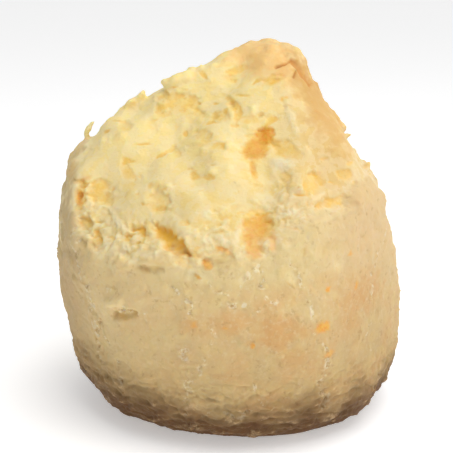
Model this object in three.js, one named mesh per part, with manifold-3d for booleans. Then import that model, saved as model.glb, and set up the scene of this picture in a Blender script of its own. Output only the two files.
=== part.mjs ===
// A baked cheese ball, torn open: one solid of a tall round bun whose upper front has been
// torn away. The crust stands as a cup below, and the crumb slopes up from its rim to a peak
// where a patch of the top crust is left.
//
// Millimetres, +Z up. The torn side faces -Y, and the origin is the middle of the underside.

import * as THREE from "three";
import { ImprovedNoise } from "three/addons/math/ImprovedNoise.js";
import { mergeVertices } from "three/addons/utils/BufferGeometryUtils.js";
import Module from "manifold-3d";

const wasm = await Module();
wasm.setup();

// ---- Driving dimensions ----

const RADIUS = 33.8; // of the bun at its waist
const WAIST_Z = 26; // height of the waist
const TOP_Z = 73.6; // of the whole bun, before it was torn
const BASE_RADIUS = 19; // of the flat spot that it rests on
const BASE_ROUNDING = 3; // superellipse power between the flat spot and the waist
const DOME_ROUNDING = 2.3; // superellipse power between the waist and the top
const LEAN = 0.09; // sideways shift for each millimetre of height, towards -X
const BEND_Z = 42; // over this height the bun leans the other way
const TOP_LEAN = 0.12; // by this much for each millimetre, towards +X

const TURN_STEPS = 72; // facets round the bun
const SIDE_STEPS = 11; // rings between the flat spot and the waist
const DOME_STEPS = 17; // rings between the waist and the top

const PEAK = new THREE.Vector3(9, 3, 77.5); // where the torn slopes meet, just over the crust
const FRONT_SLOPE_POWER = 0.8; // below 1, the torn face is steeper at its rim than at its peak
const SIDE_SLOPE_POWER = 1.15; // above 1, it is steeper at its peak

// Height of the torn rim, by bearing from the peak: [degrees, millimetres]. The front is at -90.
const RIM = [
  [-180, 50],
  [-168, 49.5],
  [-140, 36],
  [-95, 35.5],
  [-75, 40.5],
  [-52, 44.5],
  [-20, 42],
  [10, 41.5],
  [40, 45.5],
  [60, 54],
  [80, 68],
  [95, 74],
  [105, 70],
  [120, 62],
  [140, 52],
  [160, 50.5],
  [180, 50],
];

const TEAR_SIZE = 76; // side of the square tool that takes the torn piece away
const TEAR_STEPS = 50; // its cells each way
const TEAR_TOP_Z = 100;

const CRUST_COLOUR = 0xdcc08a;

// ---- Small helpers ----

const { PI, atan2, cos, exp, hypot, max, min, sin } = Math;
const noise = new ImprovedNoise();

/** Unevenness at a place: each layer is [height, width of its lumps], in millimetres. */
function lumps(layers, x, y, z) {
  let sum = 0;
  for (const [height, width] of layers) {
    sum += height * noise.noise(x / width, y / width, z / width + height);
  }
  return sum;
}

/** A round hill or hollow of that height in plan, fading over its width. */
function mound({ x, y, width, depth, height }, px, py) {
  return height * exp(-(((px - x) / width) ** 2) - ((py - y) / depth) ** 2);
}

/** A closed three.js geometry as a solid that can be cut. */
function solidOf(geometry) {
  const bare = geometry.clone();
  bare.deleteAttribute("normal");
  bare.deleteAttribute("uv");
  const merged = mergeVertices(bare, 1e-4);
  return new wasm.Manifold(
    new wasm.Mesh({
      numProp: 3,
      vertProperties: new Float32Array(merged.attributes.position.array),
      triVerts: new Uint32Array(merged.index.array),
    }),
  );
}

/** A solid as a three.js geometry. */
function geometryOf(solid) {
  const mesh = solid.getMesh();
  const geometry = new THREE.BufferGeometry();
  geometry.setAttribute("position", new THREE.BufferAttribute(mesh.vertProperties, 3));
  geometry.setIndex(new THREE.BufferAttribute(mesh.triVerts, 1));
  geometry.computeVertexNormals();
  return geometry;
}

/** Moves each vertex of a geometry to where place says. */
function reshape(geometry, place) {
  const position = geometry.attributes.position;
  const point = new THREE.Vector3();
  for (let i = 0; i < position.count; i++) {
    place(point.fromBufferAttribute(position, i));
    position.setXYZ(i, point.x, point.y, point.z);
  }
  return geometry;
}

// ---- The whole bun ----

/** Half of the bun's outline, from the rim of the flat spot up to the top. */
class Outline extends THREE.Curve {
  constructor(low, high, inner, outer, power, upper) {
    super();
    Object.assign(this, { low, high, inner, outer, power, upper });
  }
  getPoint(t, target = new THREE.Vector2()) {
    const turn = (this.upper ? t : 1 - t) * (PI / 2);
    const across = max(0, cos(turn)) ** (2 / this.power);
    const along = max(0, sin(turn)) ** (2 / this.power);
    const radius = this.inner + (this.outer - this.inner) * across;
    const height = this.upper
      ? this.low + (this.high - this.low) * along
      : this.high - (this.high - this.low) * along;
    return target.set(radius, height);
  }
}

// The dough's own unevenness: [height, width of the lumps].
const CRUST_LUMPS = [
  [1.1, 26],
  [0.9, 12],
];

/** How far the crust stands out at a bearing and height. */
function crustSwell(bearing, z) {
  const [x, y] = [RADIUS * cos(bearing), RADIUS * sin(bearing)];
  return 0.45 * cos(2 * bearing + 0.9) + 0.35 * cos(3 * bearing + 2.1) + lumps(CRUST_LUMPS, x, y, z);
}

function makeBun() {
  const side = new Outline(0, WAIST_Z, BASE_RADIUS, RADIUS, BASE_ROUNDING, false);
  const dome = new Outline(WAIST_Z, TOP_Z, 0, RADIUS, DOME_ROUNDING, true);
  const outline = [
    new THREE.Vector2(0, 0),
    ...side.getSpacedPoints(SIDE_STEPS),
    ...dome.getSpacedPoints(DOME_STEPS).slice(1),
  ];
  outline[outline.length - 1].x = 0;
  const geometry = new THREE.LatheGeometry(outline, TURN_STEPS).rotateX(PI / 2);
  return reshape(geometry, (p) => {
    const radius = hypot(p.x, p.y);
    const bearing = atan2(p.y, p.x);
    const spread = radius > 0 ? 1 + (crustSwell(bearing, p.z) * min(1, radius / BASE_RADIUS)) / radius : 1;
    p.x = p.x * spread - LEAN * (min(p.z, BEND_Z) - WAIST_Z) + TOP_LEAN * max(0, p.z - BEND_Z);
    p.y *= spread;
  });
}

// ---- The tear ----

// Hills and hollows of the torn face, by where they lie in plan.
const TEAR_MOUNDS = [
  { name: "left shoulder", x: -18, y: 3, width: 9, depth: 11, height: 3 },
  { name: "upper step", x: -9, y: 5, width: 5, depth: 8, height: 1.6 },
  { name: "right shelf", x: 19, y: -13, width: 8, depth: 5, height: 2.4 },
  { name: "middle pocket", x: 6, y: -19, width: 4, depth: 5, height: -3.0 },
  { name: "left lip", x: -17, y: -20, width: 8, depth: 4, height: 2.2 },
];

// Finer unevenness, where the crumb pulled apart: [height, width of the lumps].
const TEAR_LUMPS = [
  [2.6, 15],
  [1.8, 7],
  [1, 4],
];

/** Height at which the torn face meets the crust, by bearing from the peak. */
function rimHeight(bearing) {
  const degrees = THREE.MathUtils.radToDeg(bearing);
  const next = RIM.findIndex(([turn]) => turn >= degrees);
  const [high, low] = [RIM[max(1, next)], RIM[max(1, next) - 1]];
  const share = THREE.MathUtils.smoothstep(degrees, low[0], high[0]);
  return THREE.MathUtils.lerp(low[1], high[1], share);
}

/** Plan distance from the peak to the bun's waist, along a bearing. */
function reach(bearing) {
  const along = PEAK.x * cos(bearing) + PEAK.y * sin(bearing);
  const across = PEAK.x * sin(bearing) - PEAK.y * cos(bearing);
  return -along + (RADIUS ** 2 - across ** 2) ** 0.5;
}

/** Height of the torn face over a point of the plan. */
function tearHeight(x, y) {
  const bearing = atan2(y - PEAK.y, x - PEAK.x);
  const inwards = 1 - hypot(x - PEAK.x, y - PEAK.y) / reach(bearing);
  const rim = rimHeight(bearing);
  const power = THREE.MathUtils.lerp(FRONT_SLOPE_POWER, SIDE_SLOPE_POWER, cos(bearing) ** 2);
  const climb = inwards > 0 ? inwards ** power : inwards;
  let height = rim + (PEAK.z - rim) * climb + lumps(TEAR_LUMPS, x, y, 0);
  for (const hill of TEAR_MOUNDS) {
    height += mound(hill, x, y);
  }
  return height;
}

/** What was torn away: all that lies over the torn face. */
function makeTear() {
  const box = new THREE.BoxGeometry(TEAR_SIZE, TEAR_SIZE, TEAR_TOP_Z, TEAR_STEPS, TEAR_STEPS, 1);
  return reshape(box, (p) => {
    p.z = p.z > 0 ? TEAR_TOP_Z : tearHeight(p.x, p.y);
  });
}

// ---- The part ----

function makeTornBun() {
  const torn = solidOf(makeBun()).subtract(solidOf(makeTear()));
  const geometry = geometryOf(torn);
  geometry.computeBoundingBox();
  const middle = geometry.boundingBox.getCenter(new THREE.Vector3());
  geometry.translate(-middle.x, -middle.y, 0);
  const crust = new THREE.MeshStandardMaterial({ color: CRUST_COLOUR, roughness: 0.75, metalness: 0 });
  const mesh = new THREE.Mesh(geometry, crust);
  mesh.name = "bun";
  return mesh;
}

const cheeseBall = new THREE.Group();
cheeseBall.add(makeTornBun());

export default cheeseBall;
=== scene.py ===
"""A torn cheese ball: a tall baked bun of cheese dough whose upper front has been pulled away.

Crust and torn crumb are one skin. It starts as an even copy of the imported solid; shreds are
added and air pockets cut out of the torn face, and the crumb, the torn rim and the crust are
then roughened, each in its own way. Metres, +Z up, and the torn face looks towards -Y.
"""

import itertools
import math

import bmesh
import bpy
import numpy as np
from mathutils import Matrix, Vector
from mathutils.bvhtree import BVHTree


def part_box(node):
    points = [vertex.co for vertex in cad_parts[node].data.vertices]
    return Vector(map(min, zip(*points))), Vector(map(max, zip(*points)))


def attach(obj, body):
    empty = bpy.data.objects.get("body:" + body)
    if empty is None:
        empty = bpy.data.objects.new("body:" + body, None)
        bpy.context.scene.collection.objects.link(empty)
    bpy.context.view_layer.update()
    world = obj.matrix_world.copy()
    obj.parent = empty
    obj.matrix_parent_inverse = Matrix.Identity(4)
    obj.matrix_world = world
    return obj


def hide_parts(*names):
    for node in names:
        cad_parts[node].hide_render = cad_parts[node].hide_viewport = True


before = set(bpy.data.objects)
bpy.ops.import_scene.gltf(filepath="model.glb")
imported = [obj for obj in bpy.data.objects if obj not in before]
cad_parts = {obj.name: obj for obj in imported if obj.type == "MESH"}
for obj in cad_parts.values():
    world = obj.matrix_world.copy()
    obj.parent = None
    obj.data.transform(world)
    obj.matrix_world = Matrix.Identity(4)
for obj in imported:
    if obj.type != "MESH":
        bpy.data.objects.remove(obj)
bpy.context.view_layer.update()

MM = 0.001
UP = Vector((0, 0, 1))

# ---- The bun's main sizes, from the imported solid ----

LOW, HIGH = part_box("bun")
TALL = HIGH.z - LOW.z

WAIST_Z = 26 * MM  # height at which the bun is widest
DOME_POWER = 2.3  # roundness of the dome over the waist
SIDE_POWER = 3.0  # and of the side below it
BASE_RADIUS = 19 * MM
LEAN = 0.09  # sideways shift for each unit of height
BEND_Z = 42 * MM
TOP_LEAN = 0.12

RIM_LOW_Z = 33.5 * MM  # the torn rim is nowhere lower than this
GIRTH_BAND = (27 * MM, 33 * MM)  # the stretch under the rim where the bun's girth is measured
GIRTH_BEARINGS = 48
GIRTH_BLUR = 0.08  # radians over which the girth is evened out


def lean_at(z):
    """How far the bun's middle is shifted sideways at a height."""
    return TOP_LEAN * np.maximum(0, z - BEND_Z) - LEAN * (np.minimum(z, BEND_Z) - WAIST_Z)


def dome_share(z):
    """The dome's radius at a height, as a share of the radius at the waist."""
    above = np.clip((z - WAIST_Z) / (TALL - WAIST_Z), 0, 1)
    return (1 - above**DOME_POWER) ** (1 / DOME_POWER)


def girth():
    """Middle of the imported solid, and its waist radius by bearing, measured under the rim."""
    points = np.array([v.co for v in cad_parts["bun"].data.vertices])
    band = points[(points[:, 2] > GIRTH_BAND[0]) & (points[:, 2] < GIRTH_BAND[1])]
    band[:, 0] -= lean_at(band[:, 2])
    middle = (band.min(0) + band.max(0)) / 2
    across = band - middle
    bearing = np.arctan2(across[:, 1], across[:, 0])
    radius = np.hypot(across[:, 0], across[:, 1]) / dome_share(band[:, 2])
    centres = np.linspace(-np.pi, np.pi, GIRTH_BEARINGS + 1)
    radii = []
    for centre in centres:
        apart = np.abs(np.angle(np.exp(1j * (bearing - centre))))
        radii.append(np.average(radius, weights=np.exp(-((apart / GIRTH_BLUR) ** 2)) + 1e-9))
    return middle, centres, np.array(radii)


MIDDLE, BEARINGS, RADII = girth()

# ---- Meshes and pieces ----


def piece_of(bm, name):
    """A finished bmesh as a piece in the scene."""
    mesh = bpy.data.meshes.new(name)
    bm.to_mesh(mesh)
    bm.free()
    piece = bpy.data.objects.new(name, mesh)
    bpy.context.scene.collection.objects.link(piece)
    return piece


def settle(piece):
    """Makes a piece's modifiers part of its mesh."""
    graph = bpy.context.evaluated_depsgraph_get()
    made = bpy.data.meshes.new_from_object(piece.evaluated_get(graph))
    made.materials.clear()
    piece.modifiers.clear()
    old, piece.data = piece.data, made
    bpy.data.meshes.remove(old)


def even_out(piece, cell):
    """Makes the mesh anew from square cells of one size, which also joins what overlaps."""
    remesh = piece.modifiers.new("even cells", "REMESH")
    remesh.mode = "VOXEL"
    remesh.voxel_size = cell
    remesh.use_smooth_shade = True
    settle(piece)


def soften(piece, times, strength=0.5):
    smooth = piece.modifiers.new("soften", "SMOOTH")
    smooth.factor = strength
    smooth.iterations = times
    settle(piece)


def points_of(mesh):
    flat = np.empty(len(mesh.vertices) * 3, np.float32)
    mesh.vertices.foreach_get("co", flat)
    return flat.reshape(-1, 3).astype(float)


def normals_of(mesh):
    flat = np.empty(len(mesh.vertices) * 3, np.float32)
    mesh.vertices.foreach_get("normal", flat)
    return flat.reshape(-1, 3).astype(float)


def place_points(mesh, points):
    mesh.vertices.foreach_set("co", points.astype(np.float32).ravel())
    mesh.update()


def note(mesh, name, values):
    """Keeps a number for each point of the mesh, for the finish to read."""
    kept = mesh.attributes.new(name, "FLOAT", "POINT")
    kept.data.foreach_set("value", values.astype(np.float32))


def noted(mesh, name):
    values = np.empty(len(mesh.vertices), np.float32)
    mesh.attributes[name].data.foreach_get("value", values)
    return values


def remove(piece):
    bpy.data.objects.remove(piece)


# ---- Unevenness ----

SLOPES = np.random.default_rng(11).normal(size=(256, 3))
SLOPES /= np.linalg.norm(SLOPES, axis=1)[:, None]
SHUFFLE = np.random.default_rng(12).permutation(256)
SEED_STEP = 17.31  # how far apart in the pattern two seeds start


def shuffled(cells):
    """One of 256 numbers for each cell of a lattice."""
    first = SHUFFLE[cells[:, 0] & 255]
    second = SHUFFLE[(first + cells[:, 1]) & 255]
    return SHUFFLE[(second + cells[:, 2]) & 255]


def lumps(points, width, seed=0, stretch=(1, 1, 1)):
    """Smooth unevenness from about -1 to 1, in lumps of that width."""
    places = points / (width * np.array(stretch)) + SEED_STEP * seed
    low = np.floor(places).astype(int)
    part = places - low
    ease = part**3 * (part * (part * 6 - 15) + 10)
    total = np.zeros(len(points))
    for corner in itertools.product((0, 1), repeat=3):
        slope = SLOPES[shuffled(low + corner)]
        rise = np.einsum("ij,ij->i", slope, part - corner)
        total += rise * np.prod(np.where(corner, ease, 1 - ease), axis=1)
    return total * 1.6


def clumps(points, width, seed=0, stretch=(1, 1, 1)):
    """Rounded clumps with creases between them, from 0 in a crease to about 1."""
    return np.abs(lumps(points, width, seed, stretch)) * 1.8


def step(values, low, high):
    """0 below low, 1 above high, and a smooth rise between."""
    share = np.clip((values - low) / (high - low), 0, 1)
    return share * share * (3 - 2 * share)


# ---- The bun before it was torn ----


def crust_depth(points):
    """How deep each point lies below the skin of the whole bun."""
    x, y, z = points.T
    across = np.stack([x - MIDDLE[0] - lean_at(z), y - MIDDLE[1]])
    out = np.hypot(*across)
    radius = np.interp(np.arctan2(across[1], across[0]), BEARINGS, RADII)
    above = np.clip((z - WAIST_Z) / (TALL - WAIST_Z), 0, None)
    dome = ((out / radius) ** DOME_POWER + above**DOME_POWER) ** (1 / DOME_POWER)
    below = np.clip((WAIST_Z - z) / WAIST_Z, 0, 1)
    side_radius = BASE_RADIUS + (radius - BASE_RADIUS) * (1 - below**SIDE_POWER) ** (1 / SIDE_POWER)
    reach = np.hypot(out, z - WAIST_Z)
    return np.where(z > WAIST_Z, (1 - dome) * reach / np.maximum(dome, 0.2), side_radius - out)


# ---- What shows on the bun, by where it is seen from the front ----
#
# x and z in millimetres, then length and height, and how many degrees the right end is raised.

# Air pockets of the torn face that reach in under their upper edge, with a depth before the degrees.
HOLLOWS = {
    "upper left cave": (-7.6, 61.9, 3, 0.9, 0.56, -30),
    "under the peak": (8.3, 67.3, 3.6, 0.7, 0.56, 22),
    "long slot": (0.9, 62.8, 3.6, 0.9, 0.63, -32),
    "eye": (6, 61.4, 3, 0.8, 0.63, 12),
    "small eye": (10.4, 62.6, 2, 0.6, 0.56, -6),
    "dash": (3.4, 65, 2.6, 0.5, 0.49, 10),
    "left arc": (-18.7, 50.1, 3.2, 0.6, 0.56, -42),
    "behind the left crust": (-28.6, 45.9, 1.2, 2.6, 0.9, 0),
    "right recess": (21.9, 51.2, 2, 0.6, 0.49, 0),
    "rim slit": (-0.8, 40, 2.6, 0.5, 0.8, -22),
    "second rim slit": (-4, 37.9, 0.6, 1.8, 0.8, 20),
}

# Soft dents, then ridges and knobs that stand out: after the degrees come the depth in millimetres,
# below 0 if it stands out, and how golden it is, below 0 if it is paler than what is round it.
# The golden tint of a dent is partly the crumb's deeper yellow and partly painted shade.
DENTS = {
    "upper left cave": (-9.8, 61.9, 9.4, 4.4, -14, 0.45, 0.75),
    "peak, left": (1.8, 68, 5.4, 2, 10, 0.25, 0.7),
    "peak, under the left": (0.6, 66.6, 2.6, 1.4, -30, 0.2, 0.55),
    "long slot": (0.9, 62.5, 4.4, 2, -32, 0.2, 0.75),
    "yellow slot": (-1.7, 60.5, 3.8, 1.7, 12, 0.25, 0.7),
    "under the eye": (4.6, 60.6, 5.4, 1.6, 10, 0.15, 0.5),
    "wedge": (-4.8, 57, 3.8, 2.6, 0, 0.25, 0.45),
    "left eye": (-20.3, 57.5, 3, 1.6, -10, 0.2, 0.35),
    "crescent": (-12.2, 60, 3.2, 1.3, 10, 0.15, 0.5),
    "small crescent": (-14.8, 58, 3, 1.6, -60, 0.15, 0.3),
    "faint oval": (-9.8, 53.9, 2.2, 1.1, -20, 0.15, 0.45),
    "left arc": (-19.2, 50.2, 4.4, 2.2, -40, 0.2, 0.55),
    "left bowl": (-24.2, 46.8, 4.4, 5.2, 60, 0.6, 0.7),
    "behind the left crust": (-28.4, 45, 2.4, 5.4, 0, 0.5, 1),
    "lower left hollow": (-27.2, 41.4, 3.2, 2.8, 0, 0.6, 0.8),
    "left cells": (-24.8, 39.2, 2.4, 3.4, -30, 0.8, 0.95),
    "outer left cell": (-27.4, 38.4, 1.9, 1.4, 0, 0.5, 0.8),
    "left of the lip": (-16.6, 41.4, 3.2, 2.8, 20, 0.7, 0.9),
    "soft hollow": (-12.8, 46.8, 4.4, 4.4, -20, 0.5, 0.5),
    "under the peak": (8.4, 67.2, 4.6, 1.7, 18, 0.3, 1),
    "under the lip": (-10.8, 41.2, 8, 3.2, -30, 1.1, 1),
    "the lip's shade": (-8.8, 39.7, 5.2, 2.8, -28, 0.6, 0.95),
    "upper pocket": (5.4, 55.6, 6.4, 5.4, 20, 0.25, 0.8),
    "upper pocket's core": (7, 57.6, 3.8, 3, 0, 0.25, 0.9),
    "upper pocket, right": (10.2, 55.5, 5, 3.4, 5, 0.35, 0.65),
    "its drip": (4.6, 51.8, 1.3, 4, 8, 0.2, 0.9),
    "lower pocket": (5.4, 42.6, 6.4, 7.6, 15, 0.4, 0.5),
    "lower pocket's core": (5, 44, 4.4, 2.8, 12, 0.35, 0.85),
    "brown hollow": (15.6, 50.2, 4, 4, 40, 0.5, 0.6),
    "small hollow": (10.4, 50.6, 2.4, 3, 0, 0.3, 0.5),
    "right recess": (21.6, 50.8, 3.2, 1.9, -20, 0.3, 0.7),
    "right dot": (23.4, 49.2, 1.1, 1.2, 0, 0.2, 1),
    "shelf": (19.5, 46.9, 7.4, 1.7, 4, 0.5, 0.95),
    "dent of the shelf": (21.8, 46, 3, 1, 0, 0.2, 0.5),
    "rim slit": (-1, 39.6, 3.6, 1.8, -22, 0.25, 0.8),
    "second rim slit": (-4, 37.7, 2.2, 2.2, -40, 0.25, 0.9),
    "rim crumb": (-5.4, 35.2, 1.3, 0.7, -30, 0.15, 1),
    "golden crust": (18.8, 39.3, 6.2, 2.4, 0, 0.15, 0.55),
    "bead of the rim": (13.4, 39.2, 1, 1.8, 0, 0.15, 0.9),
    "crumb of the rim": (-15.8, 36.3, 2.6, 1.1, -10, 0.35, 0.6),
    "torn corner": (-19.2, 26.7, 5, 2.2, 22, 1, 1),
    "crust nick": (11, 33.5, 2.6, 0.35, -45, 0.25, 0.9),
    "middle dent": (-0.4, 45.4, 5, 1.2, 30, 0.2, 0.35),
    "left knob": (-19.8, 36.2, 4.4, 2.8, 10, -0.7, 0.6),
    "flap over the corner": (-21, 28.9, 4.6, 2, 28, -0.9, -0.5),
    "ridge under the peak": (12, 60.2, 1.5, 6, 20, -0.2, -0.5),
    "fibres": (9.6, 52.9, 5, 3, 0, -0.3, -0.8),
    "upper lip of the lower pocket": (5.6, 47.6, 4.6, 1.6, 0, -0.3, -0.5),
    "side of the lower pocket": (1.6, 42.4, 1.6, 5.6, -15, -0.3, -0.5),
    "crumb in the lower pocket": (6.8, 40.6, 2.2, 2.4, 0, -0.7, -0.8),
    "edge of the shelf": (19, 44.6, 9.6, 1.5, 8, -0.4, -0.5),
    "back of the shelf": (16.6, 48, 6, 1, 12, -0.3, -0.4),
    "right corner": (27, 48.6, 4.6, 2.6, -40, -0.2, -0.4),
    "lip": (-8.8, 43.4, 6.4, 2.2, -22, -0.5, -0.4),
    "left strand": (-20.8, 42.8, 5, 1.1, -38, -0.3, -0.7),
    "left crust edge": (-28.4, 38.6, 1.8, 3.4, 0, -0.5, -0.8),
    "front rim": (0.6, 37.4, 7, 1.4, 10, -0.35, -0.15),
    "left rim": (-12.4, 37.6, 8.4, 1.5, -4, -0.3, 0.45),
    "left corner": (-30.4, 49, 3.6, 3, 50, 0.15, 0.55),
    "under the left corner": (-28.6, 47.8, 3.4, 1.2, -10, 0.4, 1),
    "small left cell": (-18.6, 40.4, 1.7, 1.5, 20, 0.6, 0.9),
    "rim crumbs": (-2, 38.6, 7, 2.6, -10, 0.4, 0.6),
    "rim crumbs, left": (-8.4, 37.8, 4, 1.6, -20, 0.4, 0.8),
    "rim crumbs, far left": (-14.4, 36.2, 5, 1.6, 0, 0.4, 0.8),
}

# Where the crumb is dry and grainy.
GRAINY = {
    "lower left": (-18.4, 39.6, 25, 9.0, -6),
    "along the rim": (-1.0, 39.0, 22, 5.0, 8),
    "left of the lower pocket": (-2.6, 43.4, 8.0, 6.0, 0),
    "right of the lower pocket": (11.4, 45.6, 7.6, 10.0, 0),
    "over the right crust": (16.0, 42.2, 12.0, 3.0, 10),
}

# Shreds and torn edges that stand out against what is behind them:
# x, y, z, length, width, thickness in millimetres, and degrees raised.
SHREDS = {
    "left corner": (-29.6, 1, 50.3, 10, 14, 4.0, 51),
    "left leaf": (-28.3, 3, 55.8, 4.4, 2.0, 1.4, 58),
    "leaf's side": (-28.9, 3, 55.6, 1.8, 1.6, 1.1, 120),
    "leaf's stub": (-26.1, 3, 54.9, 1.8, 1.8, 1.2, 70),
    "left spike": (-17.9, 3, 62.3, 4.0, 2.2, 1.5, 42),
    "spike's tip": (-17.0, 3, 62.9, 2.0, 1.6, 1.0, 80),
    "spike's foot": (-19.4, 3, 61.3, 3.6, 2.6, 1.6, 30),
    "hook": (-9.8, 0.5, 66.0, 6.6, 4.4, 2.4, 14),
    "hook's tip": (-12.6, 0.5, 65.6, 1.9, 2.4, 1.5, -60),
    "barb": (-8.2, 0.5, 67.4, 2.8, 2.0, 1.0, 12),
    "peak's shoulder": (13.0, 1, 69.2, 9.4, 8, 4.8, -60),
    "peak's brow": (7.2, 2.2, 70.5, 8, 7, 4.2, 4),
    "peak's top": (5.4, 5.5, 70.9, 11, 9, 4.4, 10),
    "upper right spike": (24.4, -3, 51.9, 3.4, 2.6, 1.4, 55),
    "lower right spike": (27.5, -3, 48.7, 3.2, 2.6, 1.4, 65),
}

# What is cut off the torn edge first, given as shreds are.
CUTS = {
    "behind the hook": (-18.4, 3, 63.2, 10.5, 34, 4.0, 19),
    "notch of the barb": (-9.8, 0.5, 68.3, 1.5, 5, 1.9, 0),
    "over the hook": (-7.6, 1.5, 68.85, 7, 24, 2.6, 28),
    "right slope": (25.8, -3, 54.2, 23, 40, 4.2, -60),
    "over the right corner": (29.0, -3, 50.2, 10, 40, 5.0, -44),
    "right side": (33.1, -3, 43.1, 16, 40, 5.4, 94),
}

# The peak keeps a patch of the top crust, and the crust has patches that are browner.
PEAK_CRUST = {
    "patch": (6.4, 70.6, 13.5, 6.4, -10),
    "right of the crease": (13.6, 68.4, 4.6, 5.0, -50),
    "down the right side": (17.8, 62.4, 15.0, 6.0, -58),
}
# Creases of that patch: width in millimetres, then both ends.
PEAK_CREASES = {
    "right arm": (0.62, (12.2, 70.4), (15.8, 66.0)),
    "left arm": (0.34, (9.0, 69.2), (12.2, 70.4)),
    "foot": (0.3, (13.2, 69.0), (12.4, 67.6)),
}

# Cheese that melted into the crumb and the crust. The last number is how orange it is, up to 1.
CHEESE = {
    "upper pocket": (6.8, 57.6, 3.4, 2.8, 0, 1),
    "upper pocket, below": (4.8, 55.4, 4.6, 2.8, 20, 0.8),
    "upper pocket's drip": (4.5, 52.4, 1.1, 3.4, 10, 0.5),
    "lower pocket": (5.2, 43.0, 5.0, 3.6, 20, 0.55),
    "lower pocket, left": (4.0, 42.0, 2.2, 3.0, -30, 0.6),
    "lower pocket, below": (4.4, 39.6, 3.4, 2.8, -30, 0.6),
    "lower pocket, right": (7.8, 41.0, 1.4, 3.0, 0, 0.45),
    "rim bits": (-1.2, 40.0, 3.0, 1.0, -20, 0.7),
    "rim bead": (-3.8, 37.4, 2.0, 1.2, -30, 0.8),
    "lower rim bead": (-5.4, 35.2, 1.2, 0.7, -30, 0.8),
    "crust oval": (17.1, 25.1, 2.5, 1.9, 25, 0.9),
    "crust bead": (18.4, 19.9, 1.8, 1.1, 20, 0.6),
    "crust dot": (4.4, 22.7, 0.8, 0.8, 0, 0.8),
    "second dot": (-6.2, 26.6, 0.8, 1.0, 0, 0.5),
    "third dot": (-0.7, 26.2, 0.8, 0.5, 0, 0.5),
    "crust fleck": (22.4, 37.5, 0.8, 0.8, 20, 0.6),
    "right fleck": (18.0, 31.9, 1.0, 0.8, 30, 0.9),
    "right speck": (23.6, 31.2, 0.5, 1.6, -10, 0.6),
    "left speck": (-9.2, 33.6, 0.6, 0.6, 0, 0.8),
    "behind the left crust": (-28.4, 45.4, 1.4, 2.8, 0, 0.8),
    "left corner": (-27.6, 48.6, 2.6, 0.9, 20, 0.4),
}

# Where the crust took more heat. A last number under 1 is a fainter patch.
BROWN = {
    "right patch": (24.5, 29.5, 8.0, 7.0, -20),
    "right patch, below": (22.5, 25.0, 5.0, 4.0, 10, 0.6),
    "middle patch, left": (0.6, 26.8, 8.0, 4.0, 6, 0.8),
    "middle patch, right": (8.6, 25.2, 10.0, 6.0, -8),
    "over the middle patch": (7.4, 30.0, 8.0, 3.6, 20, 0.6),
    "under the middle patch": (11.6, 20.6, 6.0, 4.0, 10, 0.5),
    "left of the middle": (-6.6, 26.6, 4.6, 3.6, 0, 0.8),
    "under the rim, right": (17.6, 33.8, 6.0, 3.0, 0, 0.7),
    "high on the back": (-8.0, 50.0, 22.0, 10.0, 20, 0.5),
}

# Floury cracks of the crust: width in millimetres, then the turn from the front in degrees, to the
# right, and the height, from the top down.
CRACKS = {
    "left seam": (1.8, [(-57, 42), (-55, 37), (-51, 33), (-49, 28), (-49, 23), (-51, 16)]),
    "left seam's branch": (0.7, [(-49, 25.5), (-45, 20), (-41, 16), (-41, 10)]),
    "front seam": (1.7, [(-14, 22), (-15, 18), (-14, 13), (-17, 7), (-19, 2)]),
    "front hairline": (0.8, [(-5, 25.5), (-6, 22), (-8, 19), (-9, 17)]),
    "right seam": (1.0, [(26, 27), (27, 23), (30, 20), (28, 15), (30, 11), (29, 6)]),
    "right hairline": (0.6, [(22, 38), (25, 32), (26, 27)]),
    "middle seam": (1.0, [(11, 37), (13, 34.5), (12, 32), (15, 30.5), (10, 29.5)]),
    "middle seam, left": (0.6, [(12, 32), (6, 30), (2, 29.5)]),
    "rim seam": (0.6, [(-4, 34), (1, 31.5), (5, 33), (8, 36)]),
    "second rim seam": (0.5, [(-18, 34), (-12, 30), (-10, 28)]),
    "middle hairline": (0.5, [(6, 16), (8, 12), (11, 10)]),
    "low wrinkle": (0.6, [(-12, 8), (-7, 10), (0, 8.5), (8, 9.5)]),
    "left wrinkle": (0.6, [(-34, 28), (-29, 26.5), (-27, 27.5)]),
    "left fold": (0.8, [(-39, 31), (-36, 27.5), (-32, 27)]),
    "far right hairline": (0.5, [(52, 24), (49, 21), (51, 17)]),
}
SIDE_CRACKS = 13  # more of them, scattered round the sides and the back
CRACK_SEED = 23

# How far the browned underside reaches up, by turn from the front: degrees, millimetres.
# Its darkening is partly browning and partly painted shade near the floor.
BROWNED = [
    (-180, 14),
    (-120, 14),
    (-70, 15.5),
    (-40, 15),
    (-12, 12.5),
    (15, 13),
    (40, 12),
    (65, 13),
    (120, 14),
    (180, 14),
]

FRONT_Y = (1 * MM, 7 * MM)  # what is seen from the front fades out between these

HOLLOW_SLANT = math.radians(38)  # hollows reach up under their upper edge

PIT_COUNT = 18
PIT_LENGTH = (0.7 * MM, 2.0 * MM)
PIT_SLENDER = (0.2, 0.34)  # height for each length
PIT_DEPTH = (0.7, 1.3)  # depth for each height
PIT_TILT = 0.4  # radians, as a spread
PIT_LIFT = 0.1  # share of its depth by which a pit starts over the skin
PIT_SEED = 5

SHRED_COUNT = 120
SHRED_LENGTH = (0.8 * MM, 2.4 * MM)
SHRED_SLENDER = (0.18, 0.4)
SHRED_HEIGHT = (0.3, 0.7)
SHRED_TILT = 0.8
TORN_DEPTH = 1.6 * MM  # a spot this deep under the whole bun's skin is surely torn
SHRED_SEED = 9


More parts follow.
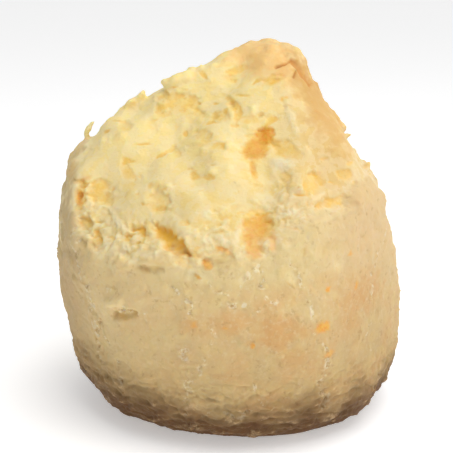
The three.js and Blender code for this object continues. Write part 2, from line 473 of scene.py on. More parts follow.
class Front:
    """The skin as it is seen from the front."""

    def __init__(self, piece):
        mesh = piece.data
        corners = [v.co for v in mesh.vertices]
        self.tree = BVHTree.FromPolygons(corners, [f.vertices for f in mesh.polygons])

    def at(self, x, z):
        """The point seen at x, z in millimetres, and the way the skin faces there."""
        place, normal, _, _ = self.tree.ray_cast(Vector((x * MM, -1, z * MM)), Vector((0, 1, 0)))
        if place is None:
            place, normal, _, _ = self.tree.find_nearest(Vector((x * MM, 0, z * MM)))
        return place, normal


def lying(place, normal, raised, size, slant=0):
    """Places a unit shape on the skin: its X level along it, then raised, its Z outwards.

    Slanted, its inner end reaches up under the skin."""
    level = UP.cross(normal).normalized()
    normal = Matrix.Rotation(-slant, 3, level) @ normal
    upwards = normal.cross(level)
    along = level * math.cos(raised) + upwards * math.sin(raised)
    turned = Matrix((along, normal.cross(along), normal)).transposed().to_4x4()
    return Matrix.Translation(place) @ turned @ Matrix.Diagonal((*size, 1))


def add_lump(bm, matrix):
    bmesh.ops.create_icosphere(bm, subdivisions=3, radius=1, matrix=matrix)


def add_standing(bm, shapes):
    """Lumps given by x, y, z, length, width, thickness and degrees raised."""
    for x, y, z, length, width, thick, raised in shapes.values():
        size = Matrix.Diagonal((length * MM / 2, width * MM / 2, thick * MM / 2, 1))
        turned = Matrix.Rotation(-math.radians(raised), 4, "Y")
        add_lump(bm, Matrix.Translation(Vector((x, y, z)) * MM) @ turned @ size)


def torn_spots(front, count, seed):
    """Spots scattered over the torn face, each a place and the way it faces."""
    rng = np.random.default_rng(seed)
    spots = []
    while len(spots) < count:
        x, z = rng.uniform(LOW.x, HIGH.x) / MM, rng.uniform(RIM_LOW_Z, TALL) / MM
        place, normal = front.at(x, z)
        if crust_depth(np.array([place]))[0] > TORN_DEPTH:
            spots.append((place, normal))
    return spots, rng


def crumpled(piece, width, height):
    """Moves the points about at random, all together where they lie close."""
    points = points_of(piece.data)
    shift = np.stack([lumps(points, width, seed) for seed in (1, 2, 3)], axis=1)
    place_points(piece.data, points + shift * height)


def make_trims():
    """What is cut off the torn edges before the shreds are added."""
    bm = bmesh.new()
    add_standing(bm, CUTS)
    trims = piece_of(bm, "trims")
    even_out(trims, 0.3 * MM)
    return trims


def make_hollows(front):
    bm = bmesh.new()
    for x, z, length, height, depth, raised in HOLLOWS.values():
        place, normal = front.at(x, z)
        size = (length * MM / 2, height * MM / 2, depth * MM)
        add_lump(bm, lying(place, normal, math.radians(raised), size, HOLLOW_SLANT))
    spots, rng = torn_spots(front, PIT_COUNT, PIT_SEED)
    for place, normal in spots:
        length = PIT_LENGTH[0] + (PIT_LENGTH[1] - PIT_LENGTH[0]) * rng.random() ** 2
        height = length * rng.uniform(*PIT_SLENDER)
        depth = height * rng.uniform(*PIT_DEPTH)
        size = (length / 2, height / 2, depth)
        start = place + normal * depth * PIT_LIFT
        add_lump(bm, lying(start, normal, rng.normal(0, PIT_TILT), size, HOLLOW_SLANT))
    hollows = piece_of(bm, "hollows")
    crumpled(hollows, 1.5 * MM, 0.6 * MM)
    even_out(hollows, 0.26 * MM)
    return hollows


def make_shreds(front):
    bm = bmesh.new()
    add_standing(bm, SHREDS)
    spots, rng = torn_spots(front, SHRED_COUNT, SHRED_SEED)
    for place, normal in spots:
        length = rng.uniform(*SHRED_LENGTH)
        size = (length / 2, length * rng.uniform(*SHRED_SLENDER), rng.uniform(*SHRED_HEIGHT) * MM)
        add_lump(bm, lying(place, normal, rng.normal(0, SHRED_TILT), size))
    shreds = piece_of(bm, "shreds")
    crumpled(shreds, 1.3 * MM, 0.5 * MM)
    return shreds


# ---- The skin ----

TRIANGLES = 190_000

# Sizes of the square cells in which the skin is made anew, from the first copy on.
COPY_CELL = 0.8 * MM
SHRED_CELL = 0.45 * MM
FINE_CELL = 0.32 * MM


def even_copy():
    """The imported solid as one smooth, even mesh."""
    bm = bmesh.new()
    bm.from_mesh(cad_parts["bun"].data)
    bmesh.ops.remove_doubles(bm, verts=bm.verts, dist=0.001 * MM)
    skin = piece_of(bm, "cheese_ball")
    even_out(skin, COPY_CELL)
    soften(skin, 8)
    return skin


def join(skin, other):
    bm = bmesh.new()
    bm.from_mesh(skin.data)
    bm.from_mesh(other.data)
    bm.to_mesh(skin.data)
    bm.free()


def drop_loose(skin):
    """Takes away what hangs on nothing: all but the largest piece of the mesh."""
    bm = bmesh.new()
    bm.from_mesh(skin.data)
    left, pieces = set(bm.verts), []
    while left:
        edge = [left.pop()]
        found = list(edge)
        while edge:
            near = {e.other_vert(v) for v in edge for e in v.link_edges} & left
            left -= near
            edge = list(near)
            found += edge
        pieces.append(found)
    pieces.sort(key=len)
    bmesh.ops.delete(bm, geom=[v for piece in pieces[:-1] for v in piece], context="VERTS")
    bm.to_mesh(skin.data)
    bm.free()


def cut_away(skin, other):
    cut = skin.modifiers.new("cut away", "BOOLEAN")
    cut.operation = "DIFFERENCE"
    cut.solver = "MANIFOLD"
    cut.object = other
    settle(skin)


def thin_out(skin):
    """Joins small faces where the skin is smooth, until it has no more than TRIANGLES."""
    triangles = sum(len(f.vertices) - 2 for f in skin.data.polygons)
    thin = skin.modifiers.new("thin out", "DECIMATE")
    thin.ratio = min(1, TRIANGLES / triangles)
    settle(skin)


# ---- Where the marks lie on the skin ----


def in_front(points):
    """1 on the front, fading to 0 behind the peak."""
    return 1 - step(points[:, 1], *FRONT_Y)


def wobble(points, seed):
    """Raggedness for an edge, in larger lumps and smaller ones."""
    return lumps(points, 2.2 * MM, seed) + 0.9 * lumps(points, 0.9 * MM, seed + 1)


def seen_at(points, x, z, raised):
    """Distances from a place seen from the front, along a raised line and over it, in mm."""
    cos, sin = math.cos(math.radians(raised)), math.sin(math.radians(raised))
    aside, above = points[:, 0] / MM - x, points[:, 2] / MM - z
    return aside * cos + above * sin, above * cos - aside * sin


def away_from(points, mark):
    """Distance from a mark's middle, 1 at its edge, and the height over its middle line."""
    x, z, length, height, raised = mark[:5]
    along, over = seen_at(points, x, z, raised)
    return np.hypot(along / (length / 2), over / (height / 2)), over


def marked(points, marks, ragged, soft, seed=61):
    """How far each point is in the marks, with a ragged edge."""
    total = np.zeros(len(points))
    uneven = ragged * wobble(points, seed)
    for mark in marks.values():
        away, _ = away_from(points, mark)
        strength = mark[5] if len(mark) > 5 else 1
        share = strength * (1 - step(away + uneven, 1 - soft, 1 + soft))
        total = np.maximum(total, share)
    return total


UPPER_EDGE, OTHER_EDGE = 0.2, 0.6  # softness of a dent's edges; the upper one is the sharper


def dented(points):
    """How deep the soft dents are, how golden they are, partly as painted shade, and how pale what
    stands out is.
    """
    deep, gold, pale = np.zeros((3, len(points)))
    uneven = 0.32 * wobble(points, 81)
    patchy = in_front(points) * (0.85 + 0.3 * lumps(points, 1.6 * MM, 85))
    for mark in DENTS.values():
        depth, golden = mark[5:]
        away, over = away_from(points, mark)
        soft = np.where((over > 0) & (depth > 0), UPPER_EDGE, OTHER_EDGE)
        share = 1 - step(away + uneven, 1 - soft, 1 + soft * 0.5)
        deep += depth * share
        tinted = gold if golden > 0 else pale
        np.maximum(tinted, abs(golden) * share * patchy, out=tinted)
    return deep * MM * in_front(points), np.clip(gold, 0, 1), pale


def line_distance(across, up, lines):
    """Distance of each place from the nearest of some lines, each ((x, z), (x, z))."""
    nearest = np.full(len(across), np.inf)
    for (x0, z0), (x1, z1) in lines:
        run = np.array([x1 - x0, z1 - z0])
        share = ((across - x0) * run[0] + (up - z0) * run[1]) / (run @ run)
        share = np.clip(share, 0, 1)
        gap = np.hypot(across - x0 - share * run[0], up - z0 - share * run[1])
        nearest = np.minimum(nearest, gap)
    return nearest


def creased(points):
    """1 in the creases of the peak's crust, down to 0 at their edges."""
    uneven = 0.3 * lumps(points, 1.5 * MM, 24) + 0.2 * lumps(points, 0.7 * MM, 25)
    crease = np.zeros(len(points))
    for width, start, end in PEAK_CREASES.values():
        gap = line_distance(points[:, 0] / MM, points[:, 2] / MM, [(start, end)]) / width
        crease = np.maximum(crease, (1 - step(gap + uneven, 0.1, 1)) * in_front(points))
    return crease


def browned(points):
    """1 on the browned underside, fading to 0 up the side; its darkening is partly painted shade."""
    turn = np.degrees(np.arctan2(points[:, 0] - MIDDLE[0], MIDDLE[1] - points[:, 1]))
    reach = np.interp(turn, *zip(*BROWNED)) * MM
    ragged = lumps(points, 7 * MM, 91) * 2.2 * MM
    ragged += lumps(points, 2 * MM, 92, (1.8, 1.8, 0.7)) * 1.4 * MM
    return 1 - step(points[:, 2] + ragged, 0.35 * reach, 1.25 * reach)


# ---- Cracks ----

# Cracks at the sides and the back: where they may start, in degrees and millimetres, how many
# more points they have, how far each is turned and lowered, and their width in millimetres.
SIDE_TURNS = (62, 298)
SIDE_TOP_Z = (16, 52)
SIDE_POINTS = (2, 6)
SIDE_DROP = (2.5, 5)
SIDE_WIDTH = (0.5, 1.1)


def all_cracks():
    """The listed cracks, and more round the sides and the back."""
    rng = np.random.default_rng(CRACK_SEED)
    cracks = list(CRACKS.values())
    for turn in np.linspace(*SIDE_TURNS, SIDE_CRACKS):
        turn += rng.uniform(-8, 8)
        z = rng.uniform(*SIDE_TOP_Z)
        path = [(turn, z)]
        for _ in range(rng.integers(*SIDE_POINTS)):
            turn += rng.normal(0, 3)
            z -= rng.uniform(*SIDE_DROP)
            path.append((turn, z))
        cracks.append((rng.uniform(*SIDE_WIDTH), path))
    return cracks


def crack_closeness(points):
    """1 along the middle of a crack, down to 0 at its edge."""
    x, y, z = points.T / MM
    aside = x - MIDDLE[0] / MM - lean_at(points[:, 2]) / MM
    turn = np.degrees(np.arctan2(aside, MIDDLE[1] / MM - y))
    girth_mm = RADII.mean() / MM * math.radians(1)
    warp = [
        lumps(points, 4 * MM, seed) * 1.1 + lumps(points, 1.4 * MM, seed + 1) * 0.4
        for seed in (71, 73)
    ]
    close = np.zeros(len(points))
    for width, path in all_cracks():
        middle = np.mean([turned for turned, _ in path])
        apart = (turn - middle + 180) % 360 - 180 + middle
        places = [(turned * girth_mm, height) for turned, height in path]
        gap = line_distance(apart * girth_mm + warp[0], z + warp[1], zip(places, places[1:]))
        close = np.maximum(close, 1 - gap / width)
    gaps = lumps(points, 2.4 * MM, 75) + 0.8 * lumps(points, 0.9 * MM, 76)
    return np.clip(close, 0, 1) * step(gaps, -0.35, 0.35)


# ---- Relief ----
#
# A layer of unevenness is its height and the width of its lumps in millimetres, its seed and,
# where its lumps aren't round, how far they are stretched along X, Y and Z.

CRUMB_FOLDS = [(0.4, 7.5, 42), (0.14, 3.4, 43, (1.5, 1.2, 0.8)), (0.06, 1.6, 44, (1.4, 1.2, 0.8))]
CRUMB_FINE = [(0.035, 0.85, 48)]
CRUMB_CLUMPS = [(0.4, 2.2, 45), (0.34, 1.1, 46)]
CLUMP_MIDDLE = 0.4  # mean height of clumps, which is taken off
GRAINS_FINE = [(0.16, 0.65, 47)]
GRAINS_ANYWHERE, GRAINS_IN_GRAINY = 0.06, 0.74  # share of the grains that shows
OPENING_DEPTH = 0.18
STRAND_HEIGHT = 0.1

CRUST_SWELL = [(0.45, 12, 51)]
CRUST_FLOUR = [(0.13, 1.1, 53), (0.09, 0.7, 54)]
CRUST_WRINKLES = [(0.44, 1.8, 55, (2.0, 2.0, 0.8))]
WRINKLES_FINE = [(0.2, 0.9, 62)]
FOLD_DEPTH = 0.1
PLEAT_DEPTH = 0.3
CRACK_DEPTH = 0.28
NEAR_RIM_Z = (24 * MM, 34 * MM)  # the crust grows lumpier between these
WRINKLED_Z = (12 * MM, 20 * MM)  # and wrinkled from the second down to the first


def layered(points, layers):
    """The sum of layers of unevenness, in millimetres."""
    return sum(
        height * lumps(points, width * MM, seed, *stretch)
        for height, width, seed, *stretch in layers
    )


def curled(points, shift, width, seeds):
    """The points moved about smoothly, so that what is laid on them curls."""
    moves = [lumps(points, width * MM, seed) for seed in seeds]
    return points + np.stack(moves, axis=1) * shift * MM


def curling_lines(points, width, seed, stretch, thin):
    """1 along fine curling lines and 0 between them."""
    return np.exp(-((lumps(points, width * MM, seed, stretch) / thin) ** 2))


def crumb_relief(points, grainy):
    """How far the torn crumb stands out, and where it has small openings and grains."""
    curl = curled(points, 1.2, 4, (31, 32, 33))
    folds = layered(curl, CRUMB_FOLDS) + layered(points, CRUMB_FINE)
    strands = curling_lines(curl, 3, 50, (1.8, 1.2, 0.9), 0.09)
    openings = step(lumps(curl, 2.1 * MM, 49, (2.0, 1.4, 0.6)), 0.42, 0.6)
    grains = layered(points, GRAINS_FINE)
    for height, width, seed in CRUMB_CLUMPS:
        grains += (clumps(curl, width * MM, seed) - CLUMP_MIDDLE) * height
    out = folds + strands * STRAND_HEIGHT - openings * OPENING_DEPTH
    out += grains * (GRAINS_ANYWHERE + GRAINS_IN_GRAINY * grainy)
    return out * MM, openings, grains


def crust_relief(points, crack):
    """How far the crust stands out, and where it is wrinkled and floury.

    It has swellings, folds, fine flour, wrinkles low down, and cracks with raised flaky sides."""
    curl = curled(points, 1.5, 5, (57, 58, 59))
    near_rim = step(points[:, 2], *NEAR_RIM_Z)
    low = 1 - step(points[:, 2], *WRINKLED_Z)
    swell = layered(points, CRUST_SWELL) + lumps(curl, 4.5 * MM, 52) * (0.29 + 0.15 * near_rim)
    swell += lumps(curl, 2.2 * MM, 60) * (0.11 + 0.14 * near_rim)
    folds = curling_lines(curl, 6, 61, (1.3, 1.3, 0.9), 0.07)
    pleats = curling_lines(curl, 2.6, 63, (2.4, 2.4, 0.8), 0.1)
    wrinkled = layered(curl, CRUST_WRINKLES) + layered(points, WRINKLES_FINE) - pleats * PLEAT_DEPTH
    wrinkled *= low
    flakes = step(crack, 0.0, 0.4) * (0.08 + 0.42 * lumps(points, 0.9 * MM, 56))
    flakes -= step(crack, 0.5, 1.0) * CRACK_DEPTH
    out = swell - folds * FOLD_DEPTH + layered(points, CRUST_FLOUR) + wrinkled + flakes
    return out * MM, step(wrinkled, 0.05, 0.3) * low


CRUST_THICK = (0.6 * MM, 1.3 * MM)  # the crumb begins between these depths
CREASE_DEPTH = 0.6 * MM
STILL_Z = (0.4 * MM, 3 * MM)  # the underside stays flat under the first and is free over the second


def roughen(skin):
    """Gives crumb, rim and crust each its own roughness, and notes which is which."""
    mesh = skin.data
    points = points_of(mesh)
    normals = normals_of(mesh)
    z = points[:, 2]
    peak_crust = marked(points, PEAK_CRUST, 0.3, 0.4)
    edge = lumps(points, 4 * MM, 21) * 0.8 * MM + lumps(points, 1.4 * MM, 22) * 0.6 * MM
    depth = crust_depth(points) + edge
    torn = step(depth, *CRUST_THICK) * step(z, RIM_LOW_Z - 1.5 * MM, RIM_LOW_Z + 0.5 * MM)
    crack = crack_closeness(points) * (1 - torn)
    grainy = marked(points, GRAINY, 0.35, 0.45, 83) * in_front(points)

    crumb, openings, grains = crumb_relief(points, grainy)
    crumb *= 1 - 0.7 * peak_crust
    crust, floury = crust_relief(points, crack)
    deep, gold, pale = dented(points)
    crease = creased(points)
    move = torn * crumb + (1 - torn) * crust - deep - crease * CREASE_DEPTH
    move *= step(z, *STILL_Z)
    place_points(mesh, points + normals * move[:, None])

    edge_on = np.exp(-((depth / MM - 1.0) / 0.8) ** 2) * step(z, RIM_LOW_Z, RIM_LOW_Z + 2 * MM)
    edge_on *= 1 - 0.8 * peak_crust
    pale = np.maximum(pale, 0.4 * edge_on)
    # Painted light and shade on the grainy crumb: paler on the tops of its grains, golden between
    # them; the golden openings are partly painted shade.
    pale = np.maximum(pale, torn * grainy * step(grains, -0.1, 0.5) * 0.7)
    gold = np.maximum(gold, torn * openings * 0.75 * (1 - 0.6 * peak_crust))
    gold = np.maximum(gold, torn * grainy * step(-grains, 0.1, 0.4) * 0.45)
    note(mesh, "torn", torn)
    note(mesh, "gold", gold)
    note(mesh, "pale", pale)
    note(mesh, "crack", crack)
    note(mesh, "floury", floury * (1 - torn))
    note(mesh, "crease", crease)


def note_hollows(skin, front):
    """Notes how far each point lies below the skin as it was before the hollows, in mm."""
    points = points_of(skin.data)
    found = np.zeros(len(points))
    for index, point in enumerate(points):
        nearest, normal, _, _ = front.tree.find_nearest(Vector(point))
        found[index] = (nearest - Vector(point)).dot(normal)
    note(skin.data, "hollow", found / MM)


SHRED_STANDS = (0.9, 1.3)  # millimetres; what stands out by the second is all crumb
SHREDS_OVER_Z = 46 * MM


def note_colours(skin):
    """Notes where shreds, cheese, the peak's crust and the browned patches are."""
    points = points_of(skin.data)
    shred = step(-noted(skin.data, "hollow"), *SHRED_STANDS) * (points[:, 2] > SHREDS_OVER_Z)
    torn = np.maximum(noted(skin.data, "torn"), shred).astype(np.float32)
    skin.data.attributes["torn"].data.foreach_set("value", torn)
    behind = step(points[:, 1] + 6 * MM * lumps(points, 7 * MM, 67), 3 * MM, 15 * MM)
    note(skin.data, "cheese", marked(points, CHEESE, 0.35, 0.35, 63) * in_front(points))
    note(skin.data, "peak", marked(points, PEAK_CRUST, 0.5, 0.6) * (1 - 0.8 * behind))
    note(skin.data, "brown", marked(points, BROWN, 0.6, 0.8, 65))
    note(skin.data, "browned", browned(points))


def make_skin():
    skin = even_copy()
    whole = Front(skin)
    hollows = make_hollows(whole)
    shreds = make_shreds(whole)
    trims = make_trims()
    cut_away(skin, trims)
    trimmed = Front(skin)
    join(skin, shreds)
    even_out(skin, SHRED_CELL)
    drop_loose(skin)
    cut_away(skin, hollows)
    even_out(skin, FINE_CELL)
    soften(skin, 2)
    for used in (trims, hollows, shreds):
        remove(used)
    roughen(skin)
    thin_out(skin)
    note_hollows(skin, trimmed)
    note_colours(skin)
    skin.data.shade_smooth()
    return skin


# ---- Finish ----

# Colours as they look: red, green and blue, up to 1.
TONES = {
    "crumb": (0.925, 0.84, 0.57),
    "pale crumb": (0.93, 0.855, 0.625),
    "buttery crumb": (0.92, 0.80, 0.46),
    "milky crumb": (0.925, 0.88, 0.70),
    # Painted light and shade: lighter crumb on the left and top, darker low down and on the right.
    "lit left crumb": (0.96, 0.875, 0.61),
    "lit upper crumb": (0.985, 0.905, 0.62),
    "shaded lower crumb": (0.885, 0.80, 0.56),
    "shaded right crumb": (0.86, 0.735, 0.48),
    "strand": (0.94, 0.89, 0.75),
    # Golden tints: partly the crumb's deeper yellow, partly painted shade in dents and openings; the
    # dry tone is partly painted light on grain tops.
    "golden crumb": (0.95, 0.77, 0.30),
    # Deeper yellow in the hollows: partly the pockets' own yellow, partly painted shade.
    "hollow": (0.94, 0.73, 0.22),
    "dry crumb and painted light": (0.92, 0.885, 0.755),
    "crust": (0.84, 0.75, 0.55),
    "warm crust": (0.855, 0.73, 0.52),
    "pale crust": (0.87, 0.78, 0.55),
    "dull crust": (0.79, 0.69, 0.47),
    "brown patch": (0.84, 0.67, 0.435),
    "rim": (0.88, 0.80, 0.575),
    "right rim": (0.90, 0.795, 0.60),
    # Painted light on the left of the front crust.
    "left crust": (0.89, 0.80, 0.59),
    "top crust": (0.92, 0.80, 0.56),
    "flour": (0.88, 0.815, 0.65),
    "brown speck": (0.72, 0.58, 0.36),
    # Partly painted shade in the crust's dents.
    "golden crust": (0.84, 0.70, 0.40),
    "flour of a crack": (0.91, 0.86, 0.72),
    # Painted shade in the middle of a crack.
    "painted shade in a crack": (0.74, 0.60, 0.38),
    "pale edge": (0.91, 0.86, 0.68),
    "flour of a wrinkle": (0.81, 0.71, 0.54),
    # Darker towards the bottom: partly browning, partly painted shade.
    "painted low shade and browning": (0.91, 0.885, 0.84),
    # Painted shade on the left and right sides of the crust.
    "painted side shade": (0.91, 0.89, 0.88),
    # The underside: partly browning, partly painted shade.
    "browned underside and painted shade": (0.50, 0.41, 0.31),
    "peach": (0.97, 0.795, 0.51),
    "right peach": (0.84, 0.67, 0.40),
    "upper right peach": (0.80, 0.62, 0.345),
    "cheese": (0.90, 0.69, 0.26),
    "deep cheese": (0.90, 0.60, 0.19),
    # The creases: partly browner crust, partly painted shade.
    "crease": (0.80, 0.55, 0.25),
    "warm tint": (1, 0.988, 0.985),
}


def tone(name):
    """A tone as the light values that a material wants."""
    return (*[((c + 0.055) / 1.055) ** 2.4 if c > 0.04045 else c / 12.92 for c in TONES[name]], 1)


class Finish:
    """A material in the making: a short way to add and join nodes."""

    def __init__(self, name):
        self.material = bpy.data.materials.new(name)
        self.material.use_nodes = True
        self.nodes = self.material.node_tree.nodes
        self.links = self.material.node_tree.links
        self.surface = self.nodes["Principled BSDF"]

    def put(self, socket, value):
        if isinstance(value, bpy.types.NodeSocket):
            self.links.new(value, socket)
        else:
            socket.default_value = value

    def set_surface(self, values):
        for name, value in values.items():
            self.put(self.surface.inputs[name], value)

    def add(self, kind, inputs=None, **settings):
        node = self.nodes.new(kind)
        for name, value in settings.items():
            setattr(node, name, value)
        for name, value in (inputs or {}).items():
            self.put(node.inputs[name], value)
        return node

    def place(self):
        return self.add("ShaderNodeTexCoord").outputs["Object"]

    def kept(self, name):
        return self.add("ShaderNodeAttribute", attribute_name=name).outputs["Fac"]

    def noise(self, width_mm, detail=3.0, rough=0.55):
        scale = 1 / (width_mm * MM)
        inputs = {"Scale": scale, "Detail": detail, "Roughness": rough, "Vector": self.place()}
        return self.add("ShaderNodeTexNoise", inputs).outputs["Fac"]

    def span(self, value, low, high, to_low=0.0, to_high=1.0):
        inputs = {"Value": value, "From Min": low, "From Max": high}
        inputs |= {"To Min": to_low, "To Max": to_high}
        smooth = self.add("ShaderNodeMapRange", inputs, interpolation_type="SMOOTHSTEP")
        return smooth.outputs["Result"]

    def reckon(self, operation, first, second):
        node = self.add("ShaderNodeMath", operation=operation)
        self.put(node.inputs[0], first)
        self.put(node.inputs[1], second)
        return node.outputs[0]

    def times(self, first, second):
        return self.reckon("MULTIPLY", first, second)

    def mix(self, share, first, second, blend="MIX"):
        node = self.add("ShaderNodeMix", data_type="RGBA", blend_type=blend)
        self.put(node.inputs["Factor"], share)
        for socket, value in zip([s for s in node.inputs if s.type == "RGBA"], (first, second)):
            self.put(socket, value)
        return [s for s in node.outputs if s.type == "RGBA"][0]

    def coat(self, colour, *coats):
        """A colour under coats of others, each a share and a tone's name."""
        for share, name in coats:
            colour = self.mix(share, colour, tone(name))
        return colour

    def darken(self, colour, share, name):
        """A colour darkened by a tone, used for browning and for painted shade."""
        return self.mix(share, colour, self.mix(1.0, colour, tone(name), "MULTIPLY"))


class Dough(Finish):
    """The finish of the skin, with the patterns and notes that crust and crumb share."""

    def __init__(self, name):
        super().__init__(name)
        self.x, _, self.z = self.add("ShaderNodeSeparateXYZ", {"Vector": self.place()}).outputs
        self.grain = self.noise(0.8, 4, 0.6)
        self.blotch = self.noise(6)
        self.patch = self.noise(2.6, 2, 0.4)
        self.milky = self.noise(4, 4, 0.6)
        self.crumbs = self.noise(0.9, 4, 0.7)
        self.pale = self.kept("pale")
        # The golden tint, partly painted shade, broken into patches.
        uneven_gold = self.span(self.noise(1.5, 3, 0.6), 0.35, 0.6, 0.4, 1)
        self.gold = self.times(self.kept("gold"), uneven_gold)

    def across(self, start, end, most=1.0):
        """From 0 at one X in millimetres to the most at another."""
        return self.span(self.x, start * MM, end * MM, 0, most)

    def up(self, start, end, most=1.0):
        """From 0 at one Z in millimetres to the most at another."""
        return self.span(self.z, start * MM, end * MM, 0, most)


def crumb_colour(dough):
    span, times = dough.span, dough.times
    strands = span(dough.reckon("SUBTRACT", dough.noise(2.2), 0.5), 0.0, 0.035, 0.25, 0.0)
    crumb = dough.mix(span(dough.blotch, 0.35, 0.65), tone("crumb"), tone("pale crumb"))
    return dough.coat(
        crumb,
        (span(dough.patch, 0.4, 0.7, 0, 0.6), "buttery crumb"),
        (span(dough.milky, 0.5, 0.68, 0, 0.6), "milky crumb"),
        # painted light on the left and top, painted shade low down and on the right
        (dough.across(0, -18, 0.5), "lit left crumb"),
        (dough.up(46, 56, 0.55), "lit upper crumb"),
        (dough.up(44, 38, 0.45), "shaded lower crumb"),
        (dough.across(4, 19, 0.85), "shaded right crumb"),
        (strands, "strand"),
        # golden: partly painted shade in dents and openings
        (times(dough.gold, 0.95), "golden crumb"),
        # deeper yellow the deeper a point lies in a hollow: partly painted shade
        (span(dough.kept("hollow"), 0.45, 1.5, 0, 0.85), "hollow"),
        # dry: partly painted light on the tops of grains
        (times(dough.pale, span(dough.grain, 0.3, 0.6, 0.5, 1)), "dry crumb and painted light"),
    )


def crust_colour(dough):
    span, times, crumbs, crack = dough.span, dough.times, dough.crumbs, dough.kept("crack")
    rim = dough.mix(dough.across(10, 26), tone("rim"), tone("right rim"))
    crust = dough.mix(span(dough.blotch, 0.36, 0.64), tone("crust"), tone("warm crust"))
    crust = dough.coat(
        crust,
        (span(dough.patch, 0.42, 0.7, 0, 0.7), "pale crust"),
        (span(dough.milky, 0.45, 0.3, 0, 0.5), "dull crust"),
        (times(dough.kept("brown"), 0.9), "brown patch"),
    )
    crust = dough.mix(dough.up(26, 40, 0.8), crust, rim)
    crust = dough.coat(
        crust,
        # painted light on the left of the front crust
        (dough.across(-4, -16, 0.5), "left crust"),
        (dough.up(43, 53, 0.75), "top crust"),
        (span(dough.grain, 0.5, 0.72, 0, 0.45), "flour"),
        (span(dough.noise(1.2, 3, 0.6), 0.42, 0.28, 0, 0.4), "brown speck"),
        # golden: partly painted shade in the crust's dents
        (times(dough.gold, 0.7), "golden crust"),
        (times(span(crack, 0.05, 0.6), span(crumbs, 0.42, 0.6)), "flour of a crack"),
        # painted shade down the middle of a crack
        (times(span(crack, 0.3, 0.9), span(crumbs, 0.5, 0.35, 0, 0.8)), "painted shade in a crack"),
        (times(dough.pale, 0.7), "pale edge"),
    )
    # Painted shade: the crust darkened on its left and right sides, where less light falls.
    shaded_left_side = times(dough.across(-23, -31), dough.up(52, 42))
    sides = dough.reckon("ADD", shaded_left_side, dough.across(10, 27, 0.65))
    # Darker towards the bottom, partly browning and partly painted shade.
    crust = dough.darken(crust, dough.up(30, 10), "painted low shade and browning")
    crust = dough.darken(crust, sides, "painted side shade")
    # The browned underside, darkened partly as browning and partly as painted shade.
    crust = dough.darken(crust, dough.kept("browned"), "browned underside and painted shade")
    flour = times(dough.kept("floury"), span(crumbs, 0.4, 0.65, 0.05, 0.5))
    return dough.coat(crust, (flour, "flour of a wrinkle"))


def peak_colour(dough):
    """The patch of top crust: peach, and deeper on its right."""
    right = dough.across(9, 15)
    peach = dough.mix(right, tone("peach"), tone("right peach"))
    deeper = dough.mix(right, peach, tone("upper right peach"))
    return dough.mix(dough.up(60, 67), peach, deeper)


def baked_finish():
    dough = Dough("baked crust and torn crumb")
    kept, span, mix = dough.kept, dough.span, dough.mix
    melted = kept("cheese")
    cheese = mix(span(dough.grain, 0.35, 0.65), tone("cheese"), tone("deep cheese"))
    peak = dough.times(kept("peak"), span(dough.gold, 0.3, 0.9, 0.85, 0.3))
    colour = mix(kept("torn"), crust_colour(dough), crumb_colour(dough))
    colour = mix(peak, colour, peak_colour(dough))
    colour = mix(melted, colour, cheese)
    # The creases darkened, partly browner crust and partly painted shade.
    colour = dough.coat(colour, (dough.times(kept("crease"), 0.85), "crease"))
    bump = {"Height": dough.noise(0.6, 5, 0.65), "Distance": 0.22 * MM, "Strength": 0.9}
    dough.set_surface({
        "Base Color": mix(1.0, colour, tone("warm tint"), "MULTIPLY"),
        "Roughness": span(melted, 0, 1, 0.7, 0.35),
        "Subsurface Weight": 0.5,
        "Subsurface Radius": (1.0, 0.65, 0.3),
        "Subsurface Scale": 1.8 * MM,
        "Specular IOR Level": 0.35,
        "Normal": dough.add("ShaderNodeBump", bump).outputs["Normal"],
    })
    return dough.material


# ---- The stage ----

VIEW_RISE = math.radians(15)  # how far the camera looks down
VIEW_DISTANCE = 232 * MM
VIEW_TARGET = Vector((-0.4 * MM, 0, 36 * MM))
LENS_MM = 90

FLOOR_REACH = 3
PAPER = 0.93
PAPER_GLOW = 0.36
ROOM_LIGHT = (0.2, 0.92)  # from the left and from the right

# Place, side and watts of each light.
LIGHTS = {
    "overhead": ((0.09, -0.11, 0.45), 0.35, 1.1),
    "right fill": ((0.5, -0.4, 0.3), 0.4, 0.35),
}
LIGHT_AIM = Vector((0, 0, 0.03))


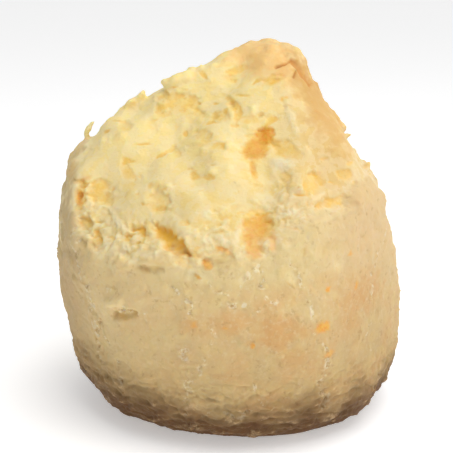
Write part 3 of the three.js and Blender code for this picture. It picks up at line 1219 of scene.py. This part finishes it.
def make_camera():
    data = bpy.data.cameras.new("camera")
    data.lens = LENS_MM
    data.clip_start = 0.01
    camera = bpy.data.objects.new("camera", data)
    back = Vector((0, -math.cos(VIEW_RISE), math.sin(VIEW_RISE)))
    camera.location = VIEW_TARGET + back * VIEW_DISTANCE
    camera.rotation_euler = (-back).to_track_quat("-Z", "Y").to_euler()
    bpy.context.scene.collection.objects.link(camera)
    bpy.context.scene.camera = camera


def make_floor():
    bm = bmesh.new()
    bmesh.ops.create_grid(bm, x_segments=1, y_segments=1, size=FLOOR_REACH)
    floor = piece_of(bm, "floor")
    paper = Finish("pale paper")
    paper.set_surface({
        "Base Color": (PAPER, PAPER, PAPER, 1),
        "Roughness": 0.9,
        "Emission Color": (1, 1, 1, 1),
        "Emission Strength": PAPER_GLOW,
    })
    floor.data.materials.append(paper.material)


def make_room():
    """A white room that is brighter on the right."""
    world = bpy.data.worlds.new("pale room")
    world.use_nodes = True
    nodes, links = world.node_tree.nodes, world.node_tree.links
    ways = nodes.new("ShaderNodeSeparateXYZ")
    brighter = nodes.new("ShaderNodeMapRange")
    links.new(nodes.new("ShaderNodeTexCoord").outputs["Generated"], ways.inputs[0])
    links.new(ways.outputs["X"], brighter.inputs["Value"])
    spans = {"From Min": -1, "From Max": 1, "To Min": ROOM_LIGHT[0], "To Max": ROOM_LIGHT[1]}
    for name, value in spans.items():
        brighter.inputs[name].default_value = value
    nodes["Background"].inputs["Color"].default_value = (1, 1, 1, 1)
    links.new(brighter.outputs["Result"], nodes["Background"].inputs["Strength"])
    bpy.context.scene.world = world


def make_lights():
    for name, (place, side, watts) in LIGHTS.items():
        data = bpy.data.lights.new(name, "AREA")
        data.shape = "SQUARE"
        data.size = side
        data.energy = watts
        light = bpy.data.objects.new(name, data)
        light.location = place
        light.rotation_euler = (LIGHT_AIM - Vector(place)).to_track_quat("-Z", "Y").to_euler()
        bpy.context.scene.collection.objects.link(light)


make_camera()
make_floor()
make_room()
make_lights()
bpy.context.scene.view_settings.view_transform = "Standard"

skin = make_skin()
skin.data.materials.append(baked_finish())
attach(skin, "root")
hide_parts("bun")
